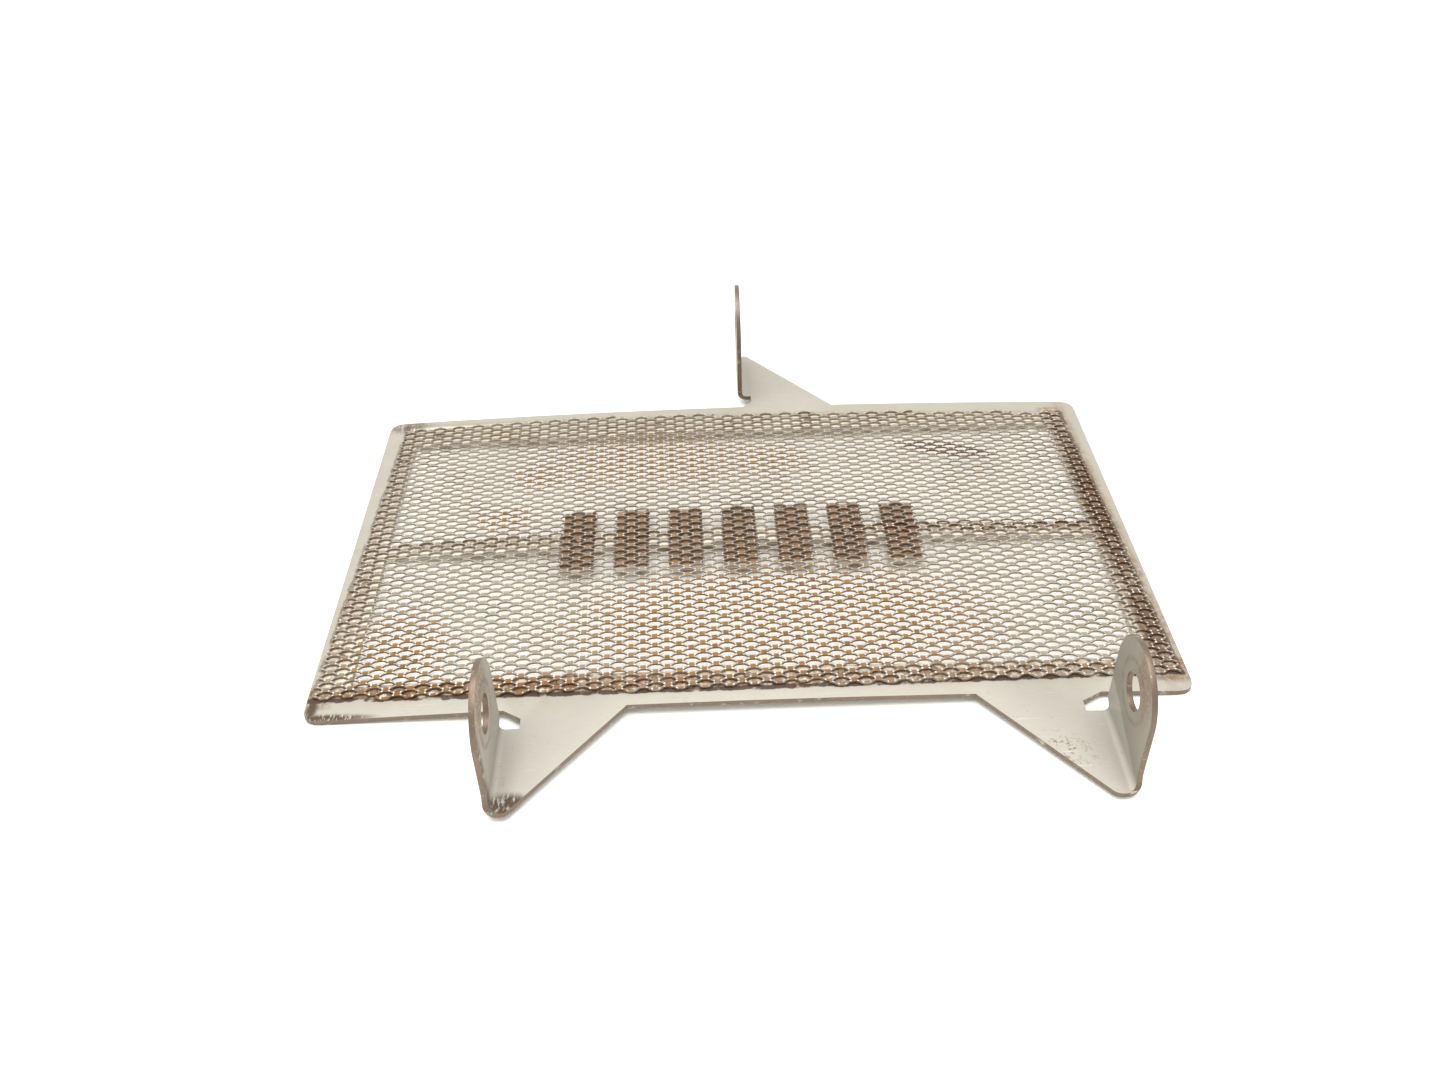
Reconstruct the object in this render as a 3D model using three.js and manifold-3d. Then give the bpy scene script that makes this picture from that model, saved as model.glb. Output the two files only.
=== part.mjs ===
// Bolt-on guard for a small radiator, lying on its front face with its mounting ears up.
// Millimetres. +X runs along the guard, +Y across it, +Z up, away from the front face.
// The origin is the centre of the footprint, on the surface that the guard lies on.
import Module from 'manifold-3d';
import * as THREE from 'three';
import { mergeVertices } from 'three/addons/utils/BufferGeometryUtils.js';

// The laser-cut sheet and the slight bow along its length.
const SHEET = 1.5;
const PLATE_LENGTH = 245;
const PLATE_DEPTH = 145;
const PLATE_CORNER_RADIUS = 5;
const CROWN = 2.5;
const CROWN_STEPS = 24;
const CORNER_STEPS = 6;

// The frame around the two windows, and the bar between them.
const STILE_WIDTH = 11;
const FRONT_RAIL_WIDTH = 12.3;
const BACK_RAIL_WIDTH = 14.8;
const BAR_WIDTH = 7;
const BAR_CENTRE = -0.7;
const WINDOW_CORNER_RADIUS = 2;

// The cut-out ornament on the bar: a row of plain upright blocks.
const BLOCK_COUNT = 7;
const BLOCK_PITCH = 16.9;
const BLOCK_WIDTH = 10.5;
const BLOCK_HEIGHT = 29;
const BLOCK_CORNER_RADIUS = 1.2;

// The triangular tabs. Their flat blanks are alike, and each is measured from its foot, the
// corner where its slanting side leaves the plate's long edge.
const TAB_DEPTH = 35.5;
const TAB_TIP_REACH = 29.6;
const TAB_TIP_RADIUS = 1.6;
const TAB_HEEL_ROUNDING = 4.5;
const RELIEF_REACH = 28.6;
const RELIEF_NEAR = 3.3;
const RELIEF_FAR = 6.9;

// The ears folded up from the tabs.
const BEND_RADIUS = 1.5;
const BEND_TAIL = 0.4;
const BEND_STEPS = 8;
const EAR_RADIUS = 14;
const EAR_STEPS = 24;
const EAR_CENTRE = PLATE_DEPTH / 2 + 19;
const EAR_SHOULDER = 2;
const EAR_TOE = 7;
const BOLT_HOLE_RADIUS = 5.25;
const BOLT_HOLE_SIDES = 36;

// The front left, front right and back tabs. foot is the foot's X, side the plate's long edge
// (-1 front, +1 back), inward the direction along X from the ear to the foot, fold the foot's
// distance to the ear's inner face, and holeHeight the bolt hole's height above the sheet's
// underside.
const TABS = [
  { foot: -33.3, side: -1, inward: 1, fold: 33.7, holeHeight: 20.6 },
  { foot: 61.8, side: -1, inward: -1, fold: 34.4, holeHeight: 21.2 },
  { foot: 35.6, side: 1, inward: 1, fold: 31.8, holeHeight: 24.4 },
];

// The expanded-metal panel, a slab of the mesh's outer shape. It was sheared a little out of
// square, so its corners are given one by one.
const MESH_GAP = 0.3;
const MESH_THICKNESS = 1.2;
const MESH_CORNERS = [
  [-121, -66],
  [119, -66],
  [116, 66.5],
  [-116, 69],
];

// Spot welds between the panel and the sheet.
const WELD_RADIUS = 1.5;
const WELD_CLEARANCE = 0.3;
const WELD_HEIGHT = 1.3;
const WELD_SIDES = 12;
const RAIL_WELDS = 9;
const RAIL_WELD_SPAN = 208;
const STILE_WELDS = 4;
const STILE_WELD_SPAN = 96;
const BAR_WELD_PLACES = [-100, -78, 78, 100];

// The frame's inner edges.
const INNER_X = PLATE_LENGTH / 2 - STILE_WIDTH;
const INNER_FRONT_Y = FRONT_RAIL_WIDTH - PLATE_DEPTH / 2;
const INNER_BACK_Y = PLATE_DEPTH / 2 - BACK_RAIL_WIDTH;

// How far a cutting or joining shape runs past what it cuts or joins.
const OVERSHOOT = 1;
const TALL = 60;
const CUT_REACH = TALL + OVERSHOOT;

const wasm = await Module();
wasm.setup();

const steel = new THREE.MeshStandardMaterial({ color: 0xb9b4a9, roughness: 0.45, metalness: 0.85 });
const meshSteel = new THREE.MeshStandardMaterial({ color: 0x8a7c69, roughness: 0.6, metalness: 0.7 });
const weldSteel = new THREE.MeshStandardMaterial({ color: 0x4e3b2c, roughness: 0.7, metalness: 0.5 });

// Height of the bowed sheet's underside at a place along the guard.
function crownHeight(x) {
  return CROWN * (1 - (2 * x / PLATE_LENGTH) ** 2);
}

function toSolid(geometry) {
  const bare = geometry.clone();
  bare.deleteAttribute('normal');
  bare.deleteAttribute('uv');
  const merged = mergeVertices(bare, 1e-5);
  return new wasm.Manifold(new wasm.Mesh({
    numProp: 3,
    vertProperties: new Float32Array(merged.attributes.position.array),
    triVerts: new Uint32Array(merged.index.array),
  }));
}

function toGeometry(solid) {
  const mesh = solid.getMesh();
  const geometry = new THREE.BufferGeometry();
  geometry.setAttribute('position', new THREE.BufferAttribute(mesh.vertProperties, 3));
  geometry.setIndex(new THREE.BufferAttribute(mesh.triVerts, 1));
  geometry.computeVertexNormals();
  return geometry;
}

function addAll(solids) {
  return solids.reduce((sum, solid) => sum.add(solid));
}

// A closed outline through the given corners, each cut back by its radius.
function roundedOutline(corners, radius) {
  const shape = new THREE.Shape();
  corners.forEach((corner, i) => {
    const here = new THREE.Vector2(...corner);
    const before = new THREE.Vector2(...corners[(i + corners.length - 1) % corners.length]);
    const after = new THREE.Vector2(...corners[(i + 1) % corners.length]);
    const start = here.clone().add(before.sub(here).setLength(radius));
    const end = here.clone().add(after.sub(here).setLength(radius));
    if (i === 0) {
      shape.moveTo(start.x, start.y);
    } else {
      shape.lineTo(start.x, start.y);
    }
    shape.quadraticCurveTo(here.x, here.y, end.x, end.y);
  });
  shape.closePath();
  return shape;
}

function polygon(corners) {
  return new THREE.Shape(corners.map((corner) => new THREE.Vector2(...corner)));
}

function rectangle(xLow, yLow, xHigh, yHigh) {
  return [[xLow, yLow], [xHigh, yLow], [xHigh, yHigh], [xLow, yHigh]];
}

// An upright prism of a plan outline, from low to high.
function upright(shape, low, high) {
  const options = { depth: high - low, bevelEnabled: false, curveSegments: CORNER_STEPS };
  return toSolid(new THREE.ExtrudeGeometry(shape, options).translate(0, 0, low));
}

// A prism along Y of a section drawn in X and Z.
function alongY(shape, yLow, yHigh) {
  const options = { depth: yHigh - yLow, bevelEnabled: false };
  const geometry = new THREE.ExtrudeGeometry(shape, options);
  return toSolid(geometry.rotateX(Math.PI / 2).translate(0, yHigh, 0));
}

// A prism along X of a profile drawn in Y and Z.
function alongX(shape, xLow, xHigh) {
  const options = { depth: xHigh - xLow, bevelEnabled: false, curveSegments: EAR_STEPS };
  const turn = new THREE.Matrix4().makeBasis(
    new THREE.Vector3(0, 1, 0),
    new THREE.Vector3(0, 0, 1),
    new THREE.Vector3(1, 0, 0),
  );
  const geometry = new THREE.ExtrudeGeometry(shape, options);
  return toSolid(geometry.applyMatrix4(turn).translate(xLow, 0, 0));
}

// A slab bowed along X, its underside a given distance above the sheet's underside.
function bowedSlab(offset, thickness) {
  const places = [];
  for (let i = -1; i <= CROWN_STEPS + 1; i += 1) {
    places.push(PLATE_LENGTH * (i / CROWN_STEPS - 0.5));
  }
  const under = places.map((x) => [x, crownHeight(x) + offset]);
  const over = places.map((x) => [x, crownHeight(x) + offset + thickness]).reverse();
  return alongY(polygon([...under, ...over]), -TALL * 2, TALL * 2);
}

function ornamentBlock(centre) {
  const half = BLOCK_WIDTH / 2;
  const rise = BLOCK_HEIGHT / 2;
  const corners = [
    [centre - half, BAR_CENTRE - rise],
    [centre + half, BAR_CENTRE - rise],
    [centre + half, BAR_CENTRE + rise],
    [centre - half, BAR_CENTRE + rise],
  ];
  return upright(roundedOutline(corners, BLOCK_CORNER_RADIUS), -TALL, TALL);
}

function blockCentre(i) {
  return (i - (BLOCK_COUNT - 1) / 2) * BLOCK_PITCH;
}

// The frame, bar and ornament of the sheet, in plan.
function plateBlank() {
  const halfLength = PLATE_LENGTH / 2;
  const halfDepth = PLATE_DEPTH / 2;
  const barEnd = INNER_X + OVERSHOOT;
  const rim = rectangle(-halfLength, -halfDepth, halfLength, halfDepth);
  const hole = rectangle(-INNER_X, INNER_FRONT_Y, INNER_X, INNER_BACK_Y);
  const bar = rectangle(
    -barEnd,
    BAR_CENTRE - BAR_WIDTH / 2,
    barEnd,
    BAR_CENTRE + BAR_WIDTH / 2,
  );
  const frame = upright(roundedOutline(rim, PLATE_CORNER_RADIUS), -TALL, TALL)
    .subtract(upright(roundedOutline(hole, WINDOW_CORNER_RADIUS), -CUT_REACH, CUT_REACH));
  const blocks = Array.from({ length: BLOCK_COUNT }, (_, i) => ornamentBlock(blockCentre(i)));
  return addAll([frame, upright(polygon(bar), -TALL, TALL), ...blocks]);
}

// X of the ear's inner face.
function earPlace(tab) {
  return tab.foot - tab.inward * tab.fold;
}

// The tab's flat part, in plan: from inside the rail to its tip, without the bend's area.
function tabBlank(tab) {
  const edge = PLATE_DEPTH / 2;
  const tip = edge + TAB_DEPTH;
  const ear = earPlace(tab);
  const bendStart = ear + tab.inward * BEND_RADIUS;
  const pastEar = ear - tab.inward * OVERSHOOT;
  const blank = [
    [tab.foot, edge],
    [tab.foot - tab.inward * TAB_TIP_REACH, tip],
    [ear, tip],
    [ear, edge - OVERSHOOT],
    [tab.foot, edge - OVERSHOOT],
  ];
  const bend = rectangle(bendStart, edge + RELIEF_FAR, pastEar, tip + OVERSHOOT);
  const [blankPlan, bendPlan] = [blank, bend].map(
    (corners) => polygon(corners.map(([x, y]) => [x, tab.side * y])),
  );
  return upright(blankPlan, -TALL, TALL).subtract(upright(bendPlan, -CUT_REACH, CUT_REACH));
}

// The relief cut at the root of the bend, which ends in a short straight side.
function reliefCut(tab) {
  const edge = PLATE_DEPTH / 2;
  const ear = earPlace(tab);
  const end = tab.foot - tab.inward * RELIEF_REACH;
  const corners = [
    [ear - tab.inward * OVERSHOOT, edge],
    [ear, edge],
    [end, edge + RELIEF_NEAR],
    [end, edge + RELIEF_FAR],
    [ear - tab.inward * OVERSHOOT, edge + RELIEF_FAR],
  ];
  const top = crownHeight(ear) + SHEET + BEND_RADIUS / 2;
  return upright(polygon(corners.map(([x, y]) => [x, tab.side * y])), -TALL, top);
}

// Section across the bend: a short flat tail, a quarter turn and the upright leaf.
function bendSection(tab, height) {
  const ear = earPlace(tab);
  const base = crownHeight(ear + tab.inward * BEND_RADIUS);
  const outer = [];
  const inner = [];
  for (let i = 0; i <= BEND_STEPS; i += 1) {
    const turn = (Math.PI / 2) * (i / BEND_STEPS);
    const across = Math.sin(turn);
    const up = 1 - Math.cos(turn);
    outer.push([BEND_RADIUS - (BEND_RADIUS + SHEET) * across, (BEND_RADIUS + SHEET) * up]);
    inner.unshift([BEND_RADIUS - BEND_RADIUS * across, SHEET + BEND_RADIUS * up]);
  }
  const tail = BEND_RADIUS + BEND_TAIL;
  const corners = [
    [tail, 0],
    ...outer,
    [-SHEET, height],
    [0, height],
    ...inner,
    [tail, SHEET],
  ];
  return polygon(corners.map(([x, z]) => [ear + tab.inward * x, base + z]));
}

// The ear's outline seen along X: straight sides, a round top and a toe that runs to the tip.
function earOutline(tab) {
  const edge = PLATE_DEPTH / 2;
  const base = crownHeight(earPlace(tab));
  const bendTop = SHEET + BEND_RADIUS;
  const near = EAR_CENTRE - EAR_RADIUS;
  const far = EAR_CENTRE + EAR_RADIUS;
  const tip = edge + TAB_DEPTH;
  const shape = new THREE.Shape();
  shape.moveTo(tab.side * (edge + RELIEF_FAR), base - OVERSHOOT);
  shape.lineTo(tab.side * (edge + RELIEF_FAR), base + bendTop);
  shape.lineTo(tab.side * near, base + bendTop + EAR_SHOULDER);
  shape.lineTo(tab.side * near, base + tab.holeHeight);
  for (let i = 1; i < EAR_STEPS; i += 1) {
    const turn = Math.PI * (i / EAR_STEPS);
    const y = EAR_CENTRE - EAR_RADIUS * Math.cos(turn);
    shape.lineTo(tab.side * y, base + tab.holeHeight + EAR_RADIUS * Math.sin(turn));
  }
  shape.lineTo(tab.side * far, base + tab.holeHeight);
  shape.lineTo(tab.side * far, base + EAR_TOE);
  shape.quadraticCurveTo(tab.side * far, base + bendTop, tab.side * tip, base + SHEET / 2);
  shape.lineTo(tab.side * tip, base - OVERSHOOT);
  return shape;
}

// Plan of the whole tab with its folded ear, rounded at the tip and behind the bend.
function tabEnvelope(tab) {
  const edge = PLATE_DEPTH / 2;
  const ear = earPlace(tab);
  const tip = edge + TAB_DEPTH;
  const outside = ear - tab.inward * (SHEET + OVERSHOOT);
  const footEnd = new THREE.Vector2(tab.foot - tab.inward * TAB_TIP_REACH, tip);
  const slope = new THREE.Vector2(tab.foot, edge).sub(footEnd).setLength(TAB_TIP_RADIUS);
  const shape = new THREE.Shape();
  shape.moveTo(tab.foot + tab.inward * OVERSHOOT, tab.side * (edge - OVERSHOOT));
  shape.lineTo(footEnd.x + slope.x, tab.side * (footEnd.y + slope.y));
  shape.quadraticCurveTo(
    footEnd.x,
    tab.side * footEnd.y,
    footEnd.x - tab.inward * TAB_TIP_RADIUS,
    tab.side * tip,
  );
  shape.quadraticCurveTo(
    outside,
    tab.side * tip,
    outside,
    tab.side * (tip - TAB_HEEL_ROUNDING),
  );
  shape.lineTo(outside, tab.side * (edge - OVERSHOOT));
  return upright(shape, -TALL, TALL);
}

function boltHole(tab) {
  const ear = earPlace(tab);
  const drill = new THREE.CylinderGeometry(
    BOLT_HOLE_RADIUS,
    BOLT_HOLE_RADIUS,
    4 * SHEET,
    BOLT_HOLE_SIDES,
  );
  const height = crownHeight(ear) + tab.holeHeight;
  return toSolid(drill.rotateZ(Math.PI / 2).translate(ear, tab.side * EAR_CENTRE, height));
}

// The folded leaf of a tab: the bend and the ear above it.
function foldedEar(tab) {
  const edge = PLATE_DEPTH / 2;
  const ear = earPlace(tab);
  const height = tab.holeHeight + EAR_RADIUS + OVERSHOOT;
  const ends = [tab.side * (edge + OVERSHOOT), tab.side * (edge + TAB_DEPTH + OVERSHOOT)];
  const leaf = alongY(bendSection(tab, height), Math.min(...ends), Math.max(...ends));
  const outline = alongX(earOutline(tab), ear - 4 * SHEET, ear + 4 * SHEET);
  return leaf.intersect(outline);
}

function guardPlate() {
  const blanks = addAll([plateBlank(), ...TABS.map(tabBlank)]);
  const flat = TABS.reduce(
    (sheet, tab) => sheet.subtract(reliefCut(tab)),
    blanks.intersect(bowedSlab(0, SHEET)),
  );
  const plateArea = upright(
    polygon(rectangle(-PLATE_LENGTH, -PLATE_DEPTH / 2, PLATE_LENGTH, PLATE_DEPTH / 2)),
    -TALL,
    TALL,
  );
  const envelope = addAll([plateArea, ...TABS.map(tabEnvelope)]);
  const folded = addAll([flat, ...TABS.map(foldedEar)]).intersect(envelope);
  return TABS.reduce((sheet, tab) => sheet.subtract(boltHole(tab)), folded);
}

// X of the mesh panel's left (-1) or right (+1) edge at a place across the guard.
function meshEdge(side, y) {
  const [front, back] = side < 0
    ? [MESH_CORNERS[0], MESH_CORNERS[3]]
    : [MESH_CORNERS[1], MESH_CORNERS[2]];
  return THREE.MathUtils.mapLinear(y, front[1], back[1], front[0], back[0]);
}

function spread(count, span) {
  return Array.from({ length: count }, (_, i) => span * (i / (count - 1) - 0.5));
}

// Every weld's name and place: along both rails and stiles, along the bar and on the blocks.
function weldPlaces() {
  const frontY = (INNER_FRONT_Y + MESH_CORNERS[0][1]) / 2;
  const backY = (INNER_BACK_Y + MESH_CORNERS[2][1]) / 2;
  const places = [];
  spread(RAIL_WELDS, RAIL_WELD_SPAN).forEach((x, i) => {
    places.push({ name: `weld_front_${i + 1}`, x, y: frontY });
    places.push({ name: `weld_back_${i + 1}`, x, y: backY });
  });
  spread(STILE_WELDS, STILE_WELD_SPAN).forEach((y, i) => {
    places.push({ name: `weld_left_${i + 1}`, x: (meshEdge(-1, y) - INNER_X) / 2, y });
    places.push({ name: `weld_right_${i + 1}`, x: (meshEdge(1, y) + INNER_X) / 2, y });
  });
  BAR_WELD_PLACES.forEach((x, i) => {
    places.push({ name: `weld_bar_${i + 1}`, x, y: BAR_CENTRE });
  });
  for (let i = 0; i < BLOCK_COUNT; i += 1) {
    places.push({ name: `weld_block_${i + 1}`, x: blockCentre(i), y: BAR_CENTRE });
  }
  return places;
}

function weldDisc(radius, height) {
  return new THREE.CylinderGeometry(radius, radius, height, WELD_SIDES).rotateX(Math.PI / 2);
}

function meshPanel(welds) {
  const slab = upright(polygon(MESH_CORNERS), -TALL, TALL)
    .intersect(bowedSlab(SHEET + MESH_GAP, MESH_THICKNESS));
  const punch = weldDisc(WELD_RADIUS + WELD_CLEARANCE, TALL);
  return welds.reduce(
    (panel, weld) => panel.subtract(toSolid(punch.clone().translate(weld.x, weld.y, 0))),
    slab,
  );
}

const welds = weldPlaces();
const group = new THREE.Group();

const plate = new THREE.Mesh(toGeometry(guardPlate()), steel);
plate.name = 'guard_plate';
group.add(plate);

const panel = new THREE.Mesh(toGeometry(meshPanel(welds)), meshSteel);
panel.name = 'mesh_panel';
group.add(panel);

welds.forEach((weld) => {
  const nugget = new THREE.Mesh(weldDisc(WELD_RADIUS, WELD_HEIGHT), weldSteel);
  nugget.name = weld.name;
  const under = crownHeight(weld.x) + SHEET + MESH_GAP;
  nugget.position.set(weld.x, weld.y, under + WELD_HEIGHT / 2);
  group.add(nugget);
});

export default group;
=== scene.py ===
import math
import random

import bmesh
import bpy
from mathutils import Matrix, Vector, noise


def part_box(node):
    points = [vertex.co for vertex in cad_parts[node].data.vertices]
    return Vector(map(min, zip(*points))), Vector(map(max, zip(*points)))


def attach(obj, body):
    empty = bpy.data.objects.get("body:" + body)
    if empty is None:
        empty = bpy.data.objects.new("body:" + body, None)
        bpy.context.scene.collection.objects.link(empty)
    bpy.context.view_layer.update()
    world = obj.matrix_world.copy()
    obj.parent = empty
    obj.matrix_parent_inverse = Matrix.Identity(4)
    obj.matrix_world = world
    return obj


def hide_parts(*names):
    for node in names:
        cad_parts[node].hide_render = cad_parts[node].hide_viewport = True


# A bolt-on radiator guard, lying on its front face with its three ears up. Everything is in
# metres in the CAD frame, and sizes given in millimetres are multiplied by MM.
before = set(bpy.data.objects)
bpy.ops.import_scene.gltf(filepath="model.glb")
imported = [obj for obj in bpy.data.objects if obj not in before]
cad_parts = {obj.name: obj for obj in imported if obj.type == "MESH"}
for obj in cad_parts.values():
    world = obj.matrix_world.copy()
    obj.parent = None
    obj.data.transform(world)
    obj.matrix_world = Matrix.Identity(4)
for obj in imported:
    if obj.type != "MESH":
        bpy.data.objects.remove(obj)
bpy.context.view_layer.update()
MM = 0.001

# The sheet, as the CAD made it: its length comes from the node's own box, and its bow is given.
PLATE_LOW, PLATE_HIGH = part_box("guard_plate")
HALF_LENGTH = PLATE_HIGH.x
CROWN = 2.5 * MM
SHEET = 1.5 * MM
TAB_START = 76 * MM
BEND_RADIUS = 1.5 * MM
EDGE_ROUNDING = 0.22 * MM

# The row of blocks on the centre bar, which the stains follow.
BLOCK_PITCH = 16.9 * MM
BLOCK_WIDTH = 10.5 * MM
BLOCK_RISE = 14.5 * MM
BAR_CENTRE = -0.7 * MM

# The expanded metal: the pitch of its openings along X and Y, and its strands.
LONG_PITCH = 6.83 * MM
SHORT_PITCH = 3.45 * MM
PITCH_SHRINK = 0.0028
STRAND_WIDTH = 0.8 * MM
STRAND_THICKNESS = 0.48 * MM
STRAND_TILT = math.radians(-5)
STRAND_TWIST = math.radians(-25)
STRAND_SWELL = 0.22
BOND_SHARE = 0.085
BOND_STEPS = 2
SLOPE_STEPS = 5
SHOULDER_SHARE = 0.3
ROW_LIMIT = 42
COLUMN_LIMIT = 20
WAVER_HEIGHT = 0.16 * MM
WAVER_SIZE = 9 * MM
ROW_TURN = math.radians(1.5)
COLUMN_TURN = math.radians(-1.6)
RNG = random.Random(479)

# The panel's cut sides aren't quite square: each lies at its offset (mm) plus its slope along
# the other axis, and the front side bows out by FRONT_BOW (1/mm) away from FRONT_MIDDLE.
LEFT_SIDE, LEFT_SLOPE = -118.8, 0.037
RIGHT_SIDE, RIGHT_SLOPE = 118.4, -0.03
FRONT_SIDE, FRONT_BOW, FRONT_MIDDLE = -67.7, 0.00019, 5
BACK_SIDE, BACK_SLOPE = 67.6, -0.02

# How far in from the panel's left, right, front and back sides its dirt reaches, how far out it
# bleeds onto the frame, how dark it is, and how dark the line under the cut strands is; that
# line is a painted shadow of the cut strands, mixed with rust.
RIM_REACH = (5.5 * MM, 7 * MM, 5 * MM, 4 * MM)
RIM_BLEED = (0.8 * MM, 3.5 * MM, 0.8 * MM, 0.5 * MM)
RIM_WEIGHT = (0.55, 0.82, 0.9, 0.08)
LINE_WEIGHT = (0.5, 0.7, 1.0, 0.12)

# Centres of the ears' bolt holes, in millimetres, and the ring a washer left round each.
EAR_HOLES = ((-67.7, -91.5, 22.4), (96.9, -91.5, 22.2), (3.0, 91.5, 26.9))
WASHER_RADIUS = 8.4 * MM

# The spot welds' nuggets: their radius, height and unevenness.
NUGGET_RADIUS = 1.15 * MM
NUGGET_HEIGHT = 0.42 * MM
NUGGET_LUMP = 0.14

# The camera: where it stands, how far it looks down, turns aside and leans, and its lens in
# millimetres.
CAMERA_PLACE = (-0.007664, -0.315138, 0.257313)
CAMERA_PITCH = math.radians(39.176)
CAMERA_AZIMUTH = math.radians(-0.407)
CAMERA_ROLL = math.radians(-1.734)
CAMERA_LENS = 31.889
SENSOR_WIDTH = 36
NEAR_CLIP = 0.01


# ---------------------------------------------------------------- geometry helpers

def crown_height(x):
    """Height of the bowed sheet's underside."""
    return CROWN * (1 - (x / HALF_LENGTH) ** 2)


def new_piece(name, mesh, material):
    piece = bpy.data.objects.new(name, mesh)
    bpy.context.scene.collection.objects.link(piece)
    mesh.materials.append(material)
    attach(piece, "root")
    return piece


# ---------------------------------------------------------------- material helpers

class Shader:
    """A node material with short calls for the nodes that the looks below are made of."""

    def __init__(self, name):
        self.material = bpy.data.materials.new(name)
        self.material.use_nodes = True
        self.nodes = self.material.node_tree.nodes
        self.links = self.material.node_tree.links
        self.surface = self.nodes["Principled BSDF"]
        self.place = self.nodes.new("ShaderNodeTexCoord").outputs["Object"]

    def node(self, kind, **inputs):
        made = self.nodes.new(kind)
        for name, value in inputs.items():
            self.feed(made.inputs[name.replace("_", " ")], value)
        return made

    def feed(self, socket, value):
        if isinstance(value, bpy.types.NodeSocket):
            self.links.new(value, socket)
        else:
            socket.default_value = value

    def math(self, operation, first, second=0.0):
        made = self.nodes.new("ShaderNodeMath")
        made.operation = operation
        made.use_clamp = False
        self.feed(made.inputs[0], first)
        self.feed(made.inputs[1], second)
        return made.outputs[0]

    def stretched(self, scale):
        """Object coordinates multiplied by a scale for each axis."""
        made = self.nodes.new("ShaderNodeVectorMath")
        made.operation = "MULTIPLY"
        self.feed(made.inputs[0], self.place)
        made.inputs[1].default_value = scale
        return made.outputs[0]

    def noise(self, size, detail=3.0, roughness=0.55, stretch=(1, 1, 1)):
        """Noise from 0 to 1 whose blotches are about size metres across."""
        vector = self.stretched([s / size for s in stretch])
        made = self.node("ShaderNodeTexNoise", Vector=vector, Scale=1.0, Detail=detail)
        made.inputs["Roughness"].default_value = roughness
        return made.outputs["Fac"]

    def ramp(self, value, low, high):
        """0 below low, 1 above high, smooth between."""
        made = self.nodes.new("ShaderNodeMapRange")
        made.interpolation_type = "SMOOTHSTEP"
        self.feed(made.inputs["Value"], value)
        made.inputs["From Min"].default_value = low
        made.inputs["From Max"].default_value = high
        return made.outputs["Result"]

    def mix(self, share, first, second):
        made = self.nodes.new("ShaderNodeMix")
        made.data_type = "RGBA"
        self.feed(made.inputs["Factor"], share)
        self.feed(made.inputs["A"], first)
        self.feed(made.inputs["B"], second)
        return made.outputs["Result"]

    def patch(self, centre, radii, turn=0.0, soft=0.6):
        """A soft patch on the guard's plan: centre and radii in millimetres, turn in degrees."""
        made = self.nodes.new("ShaderNodeMapping")
        made.vector_type = "TEXTURE"
        self.feed(made.inputs["Vector"], self.place)
        made.inputs["Location"].default_value = (centre[0] * MM, centre[1] * MM, 0)
        made.inputs["Rotation"].default_value = (0, 0, math.radians(turn))
        made.inputs["Scale"].default_value = (radii[0] * MM, radii[1] * MM, 1)
        length = self.nodes.new("ShaderNodeVectorMath")
        length.operation = "LENGTH"
        self.links.new(made.outputs[0], length.inputs[0])
        return self.ramp(length.outputs["Value"], 1 + soft, 1 - soft)

    def along(self, x_share, y_share, offset):
        """Distance in metres along a direction in plan, from a line at minus offset."""
        made = self.nodes.new("ShaderNodeVectorMath")
        made.operation = "DOT_PRODUCT"
        self.feed(made.inputs[0], self.place)
        made.inputs[1].default_value = (x_share, y_share, 0)
        return self.math("ADD", made.outputs["Value"], offset)

    def most(self, values):
        """The largest of several values."""
        top = values[0]
        for value in values[1:]:
            top = self.math("MAXIMUM", top, value)
        return top

    def least(self, values):
        """The smallest of several values."""
        low = values[0]
        for value in values[1:]:
            low = self.math("MINIMUM", low, value)
        return low

    def product(self, *values):
        total = values[0]
        for value in values[1:]:
            total = self.math("MULTIPLY", total, value)
        return total

    def bump(self, height, strength, depth):
        made = self.node("ShaderNodeBump", Height=height)
        made.inputs["Strength"].default_value = strength
        made.inputs["Distance"].default_value = depth
        self.links.new(made.outputs["Normal"], self.surface.inputs["Normal"])

    def finish(self, colour, roughness, metallic):
        self.feed(self.surface.inputs["Base Color"], colour)
        self.feed(self.surface.inputs["Roughness"], roughness)
        self.feed(self.surface.inputs["Metallic"], metallic)
        return self.material


def tone(red, green, blue):
    """A shader colour from 8-bit display values."""
    def linear(value):
        share = value / 255
        return share / 12.92 if share <= 0.04045 else ((share + 0.055) / 1.055) ** 2.4
    return (linear(red), linear(green), linear(blue), 1.0)


# ---------------------------------------------------------------- where the dirt is

def ornament_stain(shader):
    """The seven upright blocks on the bar, as a mask over the plan."""
    across = shader.along(0, 1, -BAR_CENTRE)
    beside = shader.along(1, 0, 0)
    off_centre = shader.math("PINGPONG", shader.math("DIVIDE", beside, BLOCK_PITCH), 0.5)
    half = BLOCK_WIDTH / BLOCK_PITCH / 2
    block = shader.ramp(off_centre, half + 0.05, half - 0.03)
    height = shader.ramp(shader.math("ABSOLUTE", across), BLOCK_RISE * 1.06, BLOCK_RISE * 0.9)
    ends = shader.ramp(shader.math("ABSOLUTE", beside), BLOCK_PITCH * 3.5, BLOCK_PITCH * 3.4)
    return shader.product(block, height, ends)


def ochre_stain(shader):
    return shader.most([
        shader.patch((-28, 42), (34, 15)),
        shader.patch((10, 39), (12, 8)),
        shader.patch((-65, 34), (10, 7)),
        shader.patch((-75, 12), (9, 6)),
    ])


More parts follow.
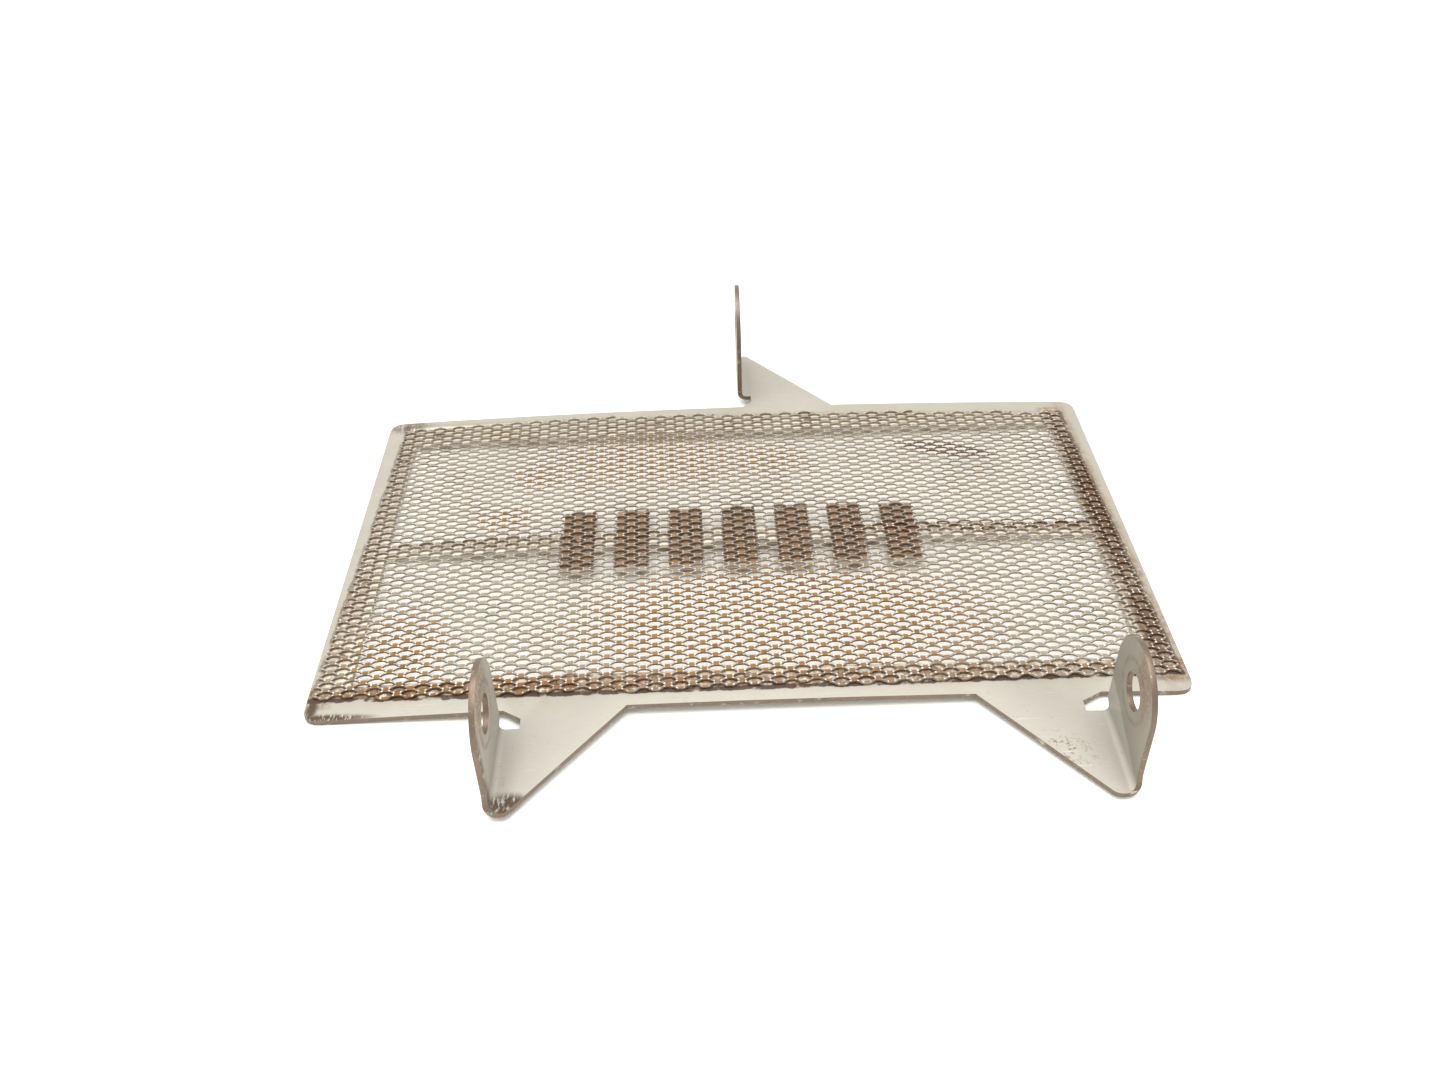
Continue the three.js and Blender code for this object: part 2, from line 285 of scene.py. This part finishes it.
def brown_stain(shader):
    """The darker smears: behind the bar on the right, and on the right side of the frame."""
    return shader.most([
        shader.patch((72, 42.5), (17, 4.5), turn=-14, soft=0.35),
        shader.patch((115.5, 10), (3.5, 40), turn=1, soft=0.4),
        shader.patch((116.5, -45), (3, 20), soft=0.4),
    ])


def warm_stain(shader):
    return shader.most([
        shader.patch((10, -42), (60, 25), soft=0.4),
        shader.patch((-100, -50), (15, 18)),
        shader.patch((-82, -64), (32, 4)),
    ])


def side_depths(shader):
    """How far inside each of the panel's cut sides a point lies: left, right, front, back."""
    from_middle = shader.along(1, 0, -FRONT_MIDDLE * MM)
    bow = shader.product(from_middle, from_middle, FRONT_BOW / MM)
    return (
        shader.along(1, -LEFT_SLOPE, -LEFT_SIDE * MM),
        shader.along(-1, RIGHT_SLOPE, RIGHT_SIDE * MM),
        shader.math("SUBTRACT", shader.along(0, 1, -FRONT_SIDE * MM), bow),
        shader.along(BACK_SLOPE, -1, BACK_SIDE * MM),
    )


def rim_grime(shader):
    """Broken dirt where the panel lies on the frame, heaviest along the right and front."""
    wander = shader.product(shader.math("SUBTRACT", shader.noise(7 * MM), 0.5), 4 * MM)
    bands = []
    for depth, reach, bleed, weight in zip(side_depths(shader), RIM_REACH, RIM_BLEED, RIM_WEIGHT):
        wavy = shader.math("ADD", depth, wander)
        inner = shader.ramp(wavy, reach * 1.3, reach * 0.7)
        bands.append(shader.product(inner, shader.ramp(wavy, -bleed, 0), weight))
    bands.append(bar_grime(shader))
    broken = shader.ramp(shader.noise(1.8 * MM, detail=5, roughness=0.7), 0.4, 0.54)
    near = shader.ramp(shader.least(side_depths(shader)), -4.5 * MM, -2 * MM)
    return shader.product(shader.most(bands), broken, near)


def edge_shadow_and_rust(shader):
    """The broken dark line under the strands that were cut off along the panel's sides: a painted shadow
    of the cut ends, mixed with rust.
    """
    wave = shader.product(shader.math("SUBTRACT", shader.noise(2.5 * MM), 0.5), 2 * MM)
    lines = []
    for depth, weight in zip(side_depths(shader), LINE_WEIGHT):
        off = shader.math("ABSOLUTE", shader.math("ADD", depth, wave))
        lines.append(shader.product(shader.ramp(off, 1.1 * MM, 0.6 * MM), weight))
    near = shader.ramp(shader.least(side_depths(shader)), -1.6 * MM, -0.9 * MM)
    broken = shader.ramp(shader.noise(5 * MM, detail=3), 0.36, 0.46)
    return shader.product(shader.most(lines), near, broken)


def bar_grime(shader):
    """Dirt along the middle bar, darker on its right half."""
    return shader.most([
        shader.product(shader.patch((-60, 0.8), (58, 3), soft=0.3), 0.65),
        shader.product(shader.patch((75, 0.8), (45, 3), soft=0.3), 0.95),
    ])


def front_rust(shader):
    """Rust held in the openings over the front rail, most of it left of the middle."""
    return shader.most([
        shader.product(shader.patch((-60, -64), (60, 5), soft=0.4), 0.9),
        shader.product(shader.patch((30, -62), (80, 5), soft=0.4), 0.45),
    ])


def side_smear(shader):
    """The soft brown smear that runs out of the panel's right side onto the frame."""
    outward = shader.ramp(side_depths(shader)[1], -5 * MM, 1 * MM)
    along = shader.patch((118, 0), (12, 72), soft=0.15)
    return shader.product(outward, along, shader.ramp(shader.noise(9 * MM, detail=4), 0.3, 0.7), 0.75)


def frame_film(shader):
    """A faint film on the frame that fades away from the panel."""
    near = shader.ramp(shader.least(side_depths(shader)), -9 * MM, 0)
    return shader.product(near, shader.ramp(shader.noise(6 * MM, detail=5), 0.3, 0.75))


def washer_marks(shader):
    """Rubbed rings round the ears' bolt holes, and the rust that starts there."""
    marks = []
    for place in EAR_HOLES:
        offset = shader.nodes.new("ShaderNodeVectorMath")
        offset.operation = "DISTANCE"
        shader.feed(offset.inputs[0], shader.place)
        offset.inputs[1].default_value = [value * MM for value in place]
        off_ring = shader.math("SUBTRACT", offset.outputs["Value"], WASHER_RADIUS)
        marks.append(shader.ramp(shader.math("ABSOLUTE", off_ring), 1.1 * MM, 0.3 * MM))
    return shader.most(marks)


# ---------------------------------------------------------------- materials

def sheet_material():
    shader = Shader("satin_sheet")
    grain = shader.noise(0.25 * MM, detail=4, stretch=(0.06, 1, 1))
    cloud = shader.noise(18 * MM, detail=4)
    speck = shader.ramp(shader.noise(0.9 * MM, detail=2), 0.66, 0.74)
    colour = shader.mix(cloud, tone(165, 161, 151), tone(176, 172, 162))
    colour = shader.mix(shader.product(grain, 0.3), colour, tone(144, 138, 127))
    colour = shader.mix(shader.product(speck, 0.4), colour, tone(134, 120, 102))
    scratch = shader.ramp(shader.noise(0.8 * MM, detail=2, stretch=(0.05, 1, 1)), 0.69, 0.74)
    colour = shader.mix(shader.product(scratch, 0.45), colour, tone(212, 208, 200))
    colour = shader.mix(shader.product(frame_film(shader), 0.35), colour, tone(160, 144, 116))
    # Under the panel the plate is painted lighter: a painted pool of light for the light the open mesh
    # lets through and reflects onto it.
    covered = shader.ramp(shader.least(side_depths(shader)), 0, 1.5 * MM)
    colour = shader.mix(shader.product(covered, 0.85), colour, tone(222, 213, 195))
    openings = shader.ramp(shader.noise(2.6 * MM, detail=5), 0.36, 0.6)
    rusted = shader.product(front_rust(shader), openings, covered)
    colour = shader.mix(rusted, colour, tone(138, 94, 44))
    rim = rim_grime(shader)
    colour = shader.mix(shader.product(rim, 0.85), colour, tone(98, 68, 36))
    colour = shader.mix(side_smear(shader), colour, tone(126, 100, 64))
    # Painted shadow under the panel's cut strands, mixed with rust, as a broken dark line.
    colour = shader.mix(shader.product(edge_shadow_and_rust(shader), 0.95), colour, tone(66, 44, 31))
    streak = shader.noise(2.4 * MM, detail=5, roughness=0.7)
    dirt = shader.product(brown_stain(shader), shader.ramp(streak, 0.25, 0.6))
    colour = shader.mix(shader.product(dirt, 0.85), colour, tone(84, 62, 40))
    blocks = shader.product(ornament_stain(shader), shader.ramp(streak, 0.2, 0.45))
    block_tone = shader.mix(shader.ramp(streak, 0.42, 0.62), tone(60, 34, 14), tone(122, 84, 44))
    colour = shader.mix(shader.product(blocks, 0.95), colour, block_tone)
    fine = shader.noise(1.1 * MM, detail=5, roughness=0.75)
    brushed = shader.noise(0.9 * MM, detail=4, roughness=0.7, stretch=(1, 0.3, 1))
    spots = shader.product(plate_spots(shader), shader.ramp(brushed, 0.38, 0.5))
    colour = shader.mix(shader.product(spots, 0.95), colour, tone(70, 52, 30))
    flecks = shader.patch((82, -93), (6, 4.5), turn=-35, soft=0.9)
    flecks = shader.product(flecks, shader.ramp(fine, 0.54, 0.6))
    colour = shader.mix(shader.product(flecks, 0.9), colour, tone(112, 84, 46))
    # Painted shade on the front ears' upper inner faces, mixed with a brownish film.
    colour = shader.mix(shader.product(ear_film_and_shade(shader), 0.45), colour, tone(96, 86, 68))
    rust = shader.product(ear_rust(shader), shader.ramp(fine, 0.34, 0.58))
    colour = shader.mix(shader.product(rust, 0.75), colour, tone(116, 90, 62))
    rings = shader.product(washer_marks(shader), shader.ramp(streak, 0.3, 0.6))
    colour = shader.mix(shader.product(rings, 0.5), colour, tone(112, 96, 80))
    dirty = shader.most([rim, dirt, blocks, spots, rust])
    roughness = shader.math("ADD", shader.product(grain, 0.14), 0.5)
    roughness = shader.math("ADD", roughness, shader.product(dirty, 0.3))
    metallic = shader.math("SUBTRACT", 0.25, shader.product(dirty, 0.25))
    shader.bump(shader.math("ADD", grain, shader.product(rim, 0.6)), 0.25, 0.05 * MM)
    return shader.finish(colour, roughness, metallic)


def plate_spots(shader):
    """Brushed-on dirt at the left tab's tip and the frame's left corners."""
    return shader.most([
        shader.patch((-62.5, -105.5), (5.5, 3.6), soft=0.4),
        shader.patch((-116, -71.6), (12, 1.3), turn=-2, soft=0.5),
        shader.patch((-120.5, -68), (1.6, 5), soft=0.6),
        shader.product(shader.patch((-117, 70), (8, 3), soft=0.8), 0.7),
    ])


def ear_film_and_shade(shader):
    """Darker, brownish colour on the front ears' inner faces above a slanting line near the bend,
    strongest on the right ear: partly a brownish film, partly painted shade.
    """
    slanted = shader.nodes.new("ShaderNodeVectorMath")
    slanted.operation = "DOT_PRODUCT"
    shader.feed(slanted.inputs[0], shader.place)
    slanted.inputs[1].default_value = (0, -0.35, 1)
    wander = shader.product(shader.math("SUBTRACT", shader.noise(5 * MM), 0.5), 3 * MM)
    height = shader.math("ADD", slanted.outputs["Value"], wander)
    side = shader.ramp(shader.along(1, 0, 0), -40 * MM, 60 * MM)
    return shader.product(shader.ramp(height, 40 * MM, 42 * MM), shader.math("MAXIMUM", side, 0.2))


def ear_rust(shader):
    """Rust on the left ear's head and on one side of the right ear's hole."""
    height = shader.nodes.new("ShaderNodeSeparateXYZ")
    shader.feed(height.inputs[0], shader.place)
    raised = shader.ramp(height.outputs["Z"], 14 * MM, 30 * MM)
    left = shader.product(shader.patch((-68, -93), (4, 9), soft=0.5), raised)
    right = shader.product(shader.patch((97, -97), (4, 6), soft=0.5), raised)
    return shader.math("MAXIMUM", left, right)


def cut_edge_material():
    shader = Shader("cut_edge")
    lines = shader.noise(0.35 * MM, detail=3, stretch=(1, 1, 0.25))
    cloud = shader.noise(6 * MM, detail=4)
    glint = shader.ramp(shader.noise(3.5 * MM, detail=3), 0.6, 0.7)
    colour = shader.mix(cloud, tone(102, 88, 75), tone(146, 131, 115))
    colour = shader.mix(shader.product(lines, 0.5), colour, tone(80, 66, 55))
    colour = shader.mix(shader.product(glint, 0.45), colour, tone(205, 196, 188))
    # Cut edges under the panel are painted lighter: painted light that offsets the shade the mesh and
    # the floor gap cast on them.
    window_painted_light = shader.ramp(shader.least(side_depths(shader)), 1 * MM, 2 * MM)
    colour = shader.mix(shader.product(window_painted_light, 0.8), colour, tone(198, 192, 184))
    roughness = shader.math("ADD", shader.product(lines, 0.25), 0.34)
    shader.bump(lines, 0.4, 0.06 * MM)
    return shader.finish(colour, roughness, shader.math("ADD", cloud, 0.2))


def strand_material():
    shader = Shader("expanded_metal")
    held = shader.nodes.new("ShaderNodeAttribute")
    held.attribute_name = "knuckle"
    knuckle = held.outputs["Fac"]
    fine = shader.noise(0.8 * MM, detail=4, roughness=0.7)
    cell = shader.noise(4.5 * MM, detail=3)
    cloud = shader.noise(26 * MM, detail=3)
    spread = shader.ramp(shader.math("ADD", cell, shader.product(fine, 0.3)), 0.35, 0.75)
    ochre, warm = ochre_stain(shader), warm_stain(shader)
    stained = shader.math("MAXIMUM", ochre, warm)
    colour = shader.mix(fine, tone(174, 166, 152), tone(234, 228, 217))
    film = shader.product(shader.ramp(cloud, 0.42, 0.66), 0.25)
    colour = shader.mix(film, colour, tone(140, 120, 90))
    hold = shader.math("ADD", shader.product(stained, 0.55), 0.45)
    dull = shader.product(knuckle, hold, shader.ramp(cell, 0.08, 0.38))
    knuckle_tone = shader.mix(fine, tone(62, 40, 16), tone(134, 102, 54))
    colour = shader.mix(dull, colour, knuckle_tone)
    colour = shader.mix(shader.product(stained, spread, 0.4), colour, tone(162, 128, 72))
    brown = shader.product(brown_stain(shader), shader.ramp(spread, -1, 0.6))
    colour = shader.mix(shader.product(brown, 0.9), colour, tone(80, 52, 27))
    blocks = shader.product(ornament_stain(shader), shader.ramp(spread, -0.6, 0.9))
    colour = shader.mix(shader.product(blocks, 0.5), colour, tone(112, 74, 38))
    rim = rim_grime(shader)
    colour = shader.mix(shader.product(rim, 0.7), colour, tone(96, 66, 36))
    rusted = shader.product(front_rust(shader), shader.ramp(cell, 0.35, 0.6), 0.8)
    colour = shader.mix(rusted, colour, tone(130, 86, 40))
    scrape = shader.patch((101, -39.5), (8, 0.45), turn=-27, soft=0.3)
    colour = shader.mix(shader.product(scrape, 0.9), colour, tone(62, 46, 32))
    shoulder = shader.product(shader.ramp(knuckle, 0.05, 0.3), shader.ramp(knuckle, 0.85, 0.55))
    glint = shader.product(shoulder, shader.ramp(shader.noise(1.2 * MM, detail=2), 0.4, 0.55))
    colour = shader.mix(shader.product(glint, 0.8), colour, tone(246, 242, 233))
    dirty = shader.most([shader.product(stained, spread), rim, brown])
    roughness = shader.math("ADD", shader.product(dirty, 0.25), 0.36)
    metallic = shader.math("SUBTRACT", 0.7, shader.product(dirty, 0.5))
    shader.bump(fine, 0.35, 0.08 * MM)
    return shader.finish(colour, roughness, metallic)


def slit_edge_material():
    """The slit faces of the strands, darker than their top faces as painted shade on the shadowed sides,
    with the dirt that stays there.
    """
    shader = Shader("slit_edge")
    fine = shader.noise(0.8 * MM, detail=4, roughness=0.7)
    cloud = shader.noise(12 * MM, detail=3)
    # The darker base colour is painted shade on the strands' slit faces.
    colour = shader.mix(fine, tone(118, 107, 91), tone(176, 165, 147))
    film = shader.product(shader.ramp(cloud, 0.45, 0.65), 0.5)
    stained = shader.most([
        shader.product(ornament_stain(shader), 0.6), shader.product(warm_stain(shader), 0.7),
        shader.product(ochre_stain(shader), 0.5), shader.product(brown_stain(shader), 0.9), film,
    ])
    colour = shader.mix(stained, colour, tone(94, 64, 31))
    colour = shader.mix(shader.product(rim_grime(shader), 0.85), colour, tone(74, 48, 25))
    shader.bump(fine, 0.3, 0.06 * MM)
    return shader.finish(colour, shader.math("ADD", shader.product(fine, 0.2), 0.45), 0.35)


def weld_material():
    shader = Shader("weld_nugget")
    fine = shader.noise(0.5 * MM, detail=4, roughness=0.7)
    colour = shader.mix(fine, tone(84, 62, 46), tone(150, 128, 104))
    shader.bump(fine, 0.5, 0.08 * MM)
    return shader.finish(colour, shader.math("ADD", shader.product(fine, 0.3), 0.4), 0.5)


def floor_material():
    shader = Shader("white_floor")
    cloud = shader.noise(60 * MM, detail=3)
    fine = shader.noise(1.5 * MM, detail=3)
    colour = shader.mix(cloud, tone(253, 252, 249), tone(255, 254, 251))
    shader.bump(fine, 0.1, 0.1 * MM)
    return shader.finish(colour, 0.7, 0.0)


# ---------------------------------------------------------------- the sheet

def is_cut_edge(face):
    """True for a face across the sheet's thickness, not on its surface, bends or ears."""
    normal = face.normal
    centre = face.calc_center_median()
    height = centre.z - crown_height(centre.x)
    if abs(centre.y) < TAB_START or height < SHEET:
        return abs(normal.z) < 0.3
    if height < SHEET + BEND_RADIUS:
        return abs(normal.y) > 0.3
    return abs(normal.x) < 0.5


def build_plate():
    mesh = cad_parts["guard_plate"].data.copy()
    mesh.materials.clear()
    bm = bmesh.new()
    bm.from_mesh(mesh)
    bmesh.ops.remove_doubles(bm, verts=bm.verts, dist=0.002 * MM)
    bmesh.ops.dissolve_limit(
        bm, angle_limit=math.radians(0.2), verts=bm.verts, edges=bm.edges,
    )
    for face in bm.faces:
        face.material_index = 1 if is_cut_edge(face) else 0
    sharp = [e for e in bm.edges if len(e.link_faces) == 2 and e.calc_face_angle() > math.radians(35)]
    bmesh.ops.bevel(
        bm, geom=sharp, offset=EDGE_ROUNDING, segments=2, profile=0.5,
        affect="EDGES", clamp_overlap=True, material=0,
    )
    bm.normal_update()
    for face in bm.faces:
        face.smooth = True
    bm.to_mesh(mesh)
    bm.free()
    plate = new_piece("plate", mesh, sheet_material())
    mesh.materials.append(cut_edge_material())
    mesh.set_sharp_from_angle(angle=math.radians(30))
    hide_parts("guard_plate")
    return plate


# ---------------------------------------------------------------- the expanded metal

def lattice_place(u, v):
    """Plan position of a lattice point: u counts openings along a row, v counts rows."""
    along = u * LONG_PITCH
    across = v * SHORT_PITCH * (1 - PITCH_SHRINK * v / 2)
    x = along * math.cos(ROW_TURN) + across * math.sin(COLUMN_TURN)
    y = along * math.sin(ROW_TURN) + across * math.cos(COLUMN_TURN)
    return x, y


def inside_outline(x, y):
    """True inside the panel's cut sides."""
    x, y = x / MM, y / MM
    front = FRONT_SIDE + FRONT_BOW * (x - FRONT_MIDDLE) ** 2
    back = BACK_SIDE + BACK_SLOPE * x
    left = LEFT_SIDE + LEFT_SLOPE * y
    right = RIGHT_SIDE + RIGHT_SLOPE * y
    return left < x < right and front < y < back


def station_list(low, high):
    """Values of u with a step at every change of a strand's shape."""
    slope = 0.5 - 2 * BOND_SHARE
    phases = [-BOND_SHARE + 2 * BOND_SHARE * i / BOND_STEPS for i in range(BOND_STEPS)]
    phases += [BOND_SHARE + slope * i / SLOPE_STEPS for i in range(SLOPE_STEPS)]
    count = int((high - low) * 2)
    return [(low + half / 2 + phase, half, i) for half in range(count) for i, phase in enumerate(phases)]


def build_panel(name, row_low, row_high, face_steel, edge_steel):
    """Strands row_low to row_high - 1, each a tilted zigzag ribbon that joins its neighbours."""
    stations = station_list(-COLUMN_LIMIT, COLUMN_LIMIT)
    steps = len(stations)
    vertices, lookup, knuckles = [], {}, []

    def strand(row, index):
        """(swing, steepness, bonded) at a station: swing is 1 on a row's low bonds, -1 on its
        high ones, and bonded falls from 1 at a bond to 0 past its shoulders."""
        u, half, i = stations[index]
        sign = 1 if (half + row) % 2 == 0 else -1
        if i <= BOND_STEPS:
            return sign, 0.0, 1.0
        share = (i - BOND_STEPS) / SLOPE_STEPS
        bonded = max(0.0, 1 - min(share, 1 - share) / SHOULDER_SHARE)
        return sign * math.cos(math.pi * share), math.sin(math.pi * share), bonded

    def corner(row, index, upper, top):
        swing, steep, bonded = strand(row, index)
        if upper and bonded == 1 and swing < 0:
            row, upper, swing = row + 1, False, 1
        key = (row, index, upper, top)
        if key in lookup:
            return lookup[key]
        tilt = STRAND_TILT + STRAND_TWIST * steep
        bond_half = STRAND_WIDTH * math.cos(STRAND_TILT) / SHORT_PITCH / 2
        half = STRAND_WIDTH * math.cos(tilt) * (1 + STRAND_SWELL * steep) / SHORT_PITCH / 2
        side = 1 if upper else -1
        v = row / 2 + 0.25 - swing * (0.25 - bond_half) + side * half
        x, y = lattice_place(stations[index][0], v)
        lift = STRAND_WIDTH / 2 * (math.sin(STRAND_TILT) * swing + math.sin(tilt) * side)
        face = 0.5 if top else -0.5
        y -= face * STRAND_THICKNESS * math.sin(tilt)
        z = lift + face * STRAND_THICKNESS * math.cos(tilt)
        lookup[key] = len(vertices)
        vertices.append((x, y, z))
        knuckles.append(bonded)
        return lookup[key]

    present = set()
    for row in range(row_low, row_high):
        for index in range(steps - 1):
            u = (stations[index][0] + stations[index + 1][0]) / 2
            x, y = lattice_place(u, row / 2 + 0.25)
            if inside_outline(x, y):
                present.add((row, index))
    faces, walls = [], []
    for row, index in sorted(present):
        ends = [(index, True), (index + 1, True)]
        c = {
            (j, upper, top): corner(row, j, upper, top)
            for j, _ in ends for upper in (False, True) for top in (False, True)
        }
        a, b = index, index + 1
        faces.append([c[a, False, True], c[b, False, True], c[b, True, True], c[a, True, True]])
        faces.append([c[a, False, False], c[a, True, False], c[b, True, False], c[b, False, False]])
        bonded = stations[a][2] < BOND_STEPS
        low_bond = strand(row, a)[0] > 0
        if not (bonded and low_bond and (row - 1, index) in present):
            walls.append([c[a, False, False], c[b, False, False], c[b, False, True], c[a, False, True]])
        if not (bonded and not low_bond and (row + 1, index) in present):
            walls.append([c[a, True, True], c[b, True, True], c[b, True, False], c[a, True, False]])
        if (row, index - 1) not in present:
            walls.append([c[a, False, False], c[a, False, True], c[a, True, True], c[a, True, False]])
        if (row, index + 1) not in present:
            walls.append([c[b, False, True], c[b, False, False], c[b, True, False], c[b, True, True]])
    rest = SHEET + (STRAND_THICKNESS + STRAND_WIDTH * math.sin(abs(STRAND_TILT + STRAND_TWIST))) / 2
    placed = []
    for x, y, z in vertices:
        waver = WAVER_HEIGHT * noise.noise(Vector((x, y, 0)) / WAVER_SIZE)
        placed.append((x, y, z + rest + crown_height(x) + max(0.0, waver)))
    mesh = bpy.data.meshes.new(name)
    mesh.from_pydata(placed, [], faces + walls)
    slots = [0] * len(faces) + [1] * len(walls)
    mesh.polygons.foreach_set("material_index", slots)
    mesh.attributes.new("knuckle", "FLOAT", "POINT").data.foreach_set("value", knuckles)
    mesh.shade_smooth()
    mesh.set_sharp_from_angle(angle=math.radians(48))
    panel = new_piece(name, mesh, face_steel)
    mesh.materials.append(edge_steel)
    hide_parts("mesh_panel")
    return panel


# ---------------------------------------------------------------- the welds

def build_weld(node, material):
    """A squashed, slightly uneven nugget where a knuckle is fused to the sheet."""
    low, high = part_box(node)
    centre = (low + high) / 2
    bm = bmesh.new()
    bmesh.ops.create_icosphere(bm, subdivisions=2, radius=1.0)
    base = crown_height(centre.x) + SHEET
    turn = Matrix.Rotation(RNG.uniform(0, math.tau), 3, "Z")
    squeeze = RNG.uniform(0.75, 1.0)
    for vert in bm.verts:
        lump = 1 + NUGGET_LUMP * noise.noise(vert.co * 1.7 + centre * 900)
        place = turn @ Vector((vert.co.x, vert.co.y * squeeze, 0)) * NUGGET_RADIUS * lump
        height = NUGGET_HEIGHT * (vert.co.z * lump + 0.9)
        vert.co = Vector((centre.x + place.x, centre.y + place.y, base + height))
    for face in bm.faces:
        face.smooth = True
    mesh = bpy.data.meshes.new(node)
    bm.to_mesh(mesh)
    bm.free()
    weld = new_piece("nugget_" + node.removeprefix("weld_"), mesh, material)
    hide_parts(node)


# ---------------------------------------------------------------- floor, light and camera

def build_floor():
    bm = bmesh.new()
    bmesh.ops.create_grid(bm, x_segments=24, y_segments=24, size=3.0)
    mesh = bpy.data.meshes.new("floor")
    bm.to_mesh(mesh)
    bm.free()
    floor = bpy.data.objects.new("floor", mesh)
    floor.location.z = -0.05 * MM
    mesh.materials.append(floor_material())
    bpy.context.scene.collection.objects.link(floor)


def soft_light(name, place, size, power, target=(0, 0, 0)):
    data = bpy.data.lights.new(name, "AREA")
    data.shape = "DISK"
    data.size = size
    data.energy = power
    light = bpy.data.objects.new(name, data)
    light.location = place
    light.rotation_euler = (Vector(target) - Vector(place)).to_track_quat("-Z", "Y").to_euler()
    bpy.context.scene.collection.objects.link(light)


def build_light():
    world = bpy.data.worlds.new("studio")
    world.use_nodes = True
    background = world.node_tree.nodes["Background"]
    background.inputs["Color"].default_value = (1.0, 0.985, 0.96, 1)
    background.inputs["Strength"].default_value = 1.0
    bpy.context.scene.world = world
    soft_light("overhead", place=(-0.1, 0, 1.5), size=1.6, power=27)


def build_camera():
    """The camera stands in front of the guard, looks down at it and leans a little."""
    back = Vector((
        math.sin(CAMERA_AZIMUTH) * math.cos(CAMERA_PITCH),
        -math.cos(CAMERA_AZIMUTH) * math.cos(CAMERA_PITCH),
        math.sin(CAMERA_PITCH),
    ))
    right = Vector((math.cos(CAMERA_AZIMUTH), math.sin(CAMERA_AZIMUTH), 0))
    up = back.cross(right)
    across = math.cos(CAMERA_ROLL) * right + math.sin(CAMERA_ROLL) * up
    upward = math.cos(CAMERA_ROLL) * up - math.sin(CAMERA_ROLL) * right
    data = bpy.data.cameras.new("camera")
    data.sensor_width = SENSOR_WIDTH
    data.lens = CAMERA_LENS
    data.clip_start = NEAR_CLIP
    camera = bpy.data.objects.new("camera", data)
    turn = Matrix((across, upward, back)).transposed().to_4x4()
    camera.matrix_world = Matrix.Translation(CAMERA_PLACE) @ turn
    bpy.context.scene.collection.objects.link(camera)
    bpy.context.scene.camera = camera


# ---------------------------------------------------------------- the scene

build_plate()
strand_steel = (strand_material(), slit_edge_material())
build_panel("mesh_front", -ROW_LIMIT, 0, *strand_steel)
build_panel("mesh_back", 0, ROW_LIMIT, *strand_steel)
nugget_steel = weld_material()
for node in sorted(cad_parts):
    if node.startswith("weld_"):
        build_weld(node, nugget_steel)
build_floor()
build_light()
build_camera()
bpy.context.scene.view_settings.view_transform = "Standard"
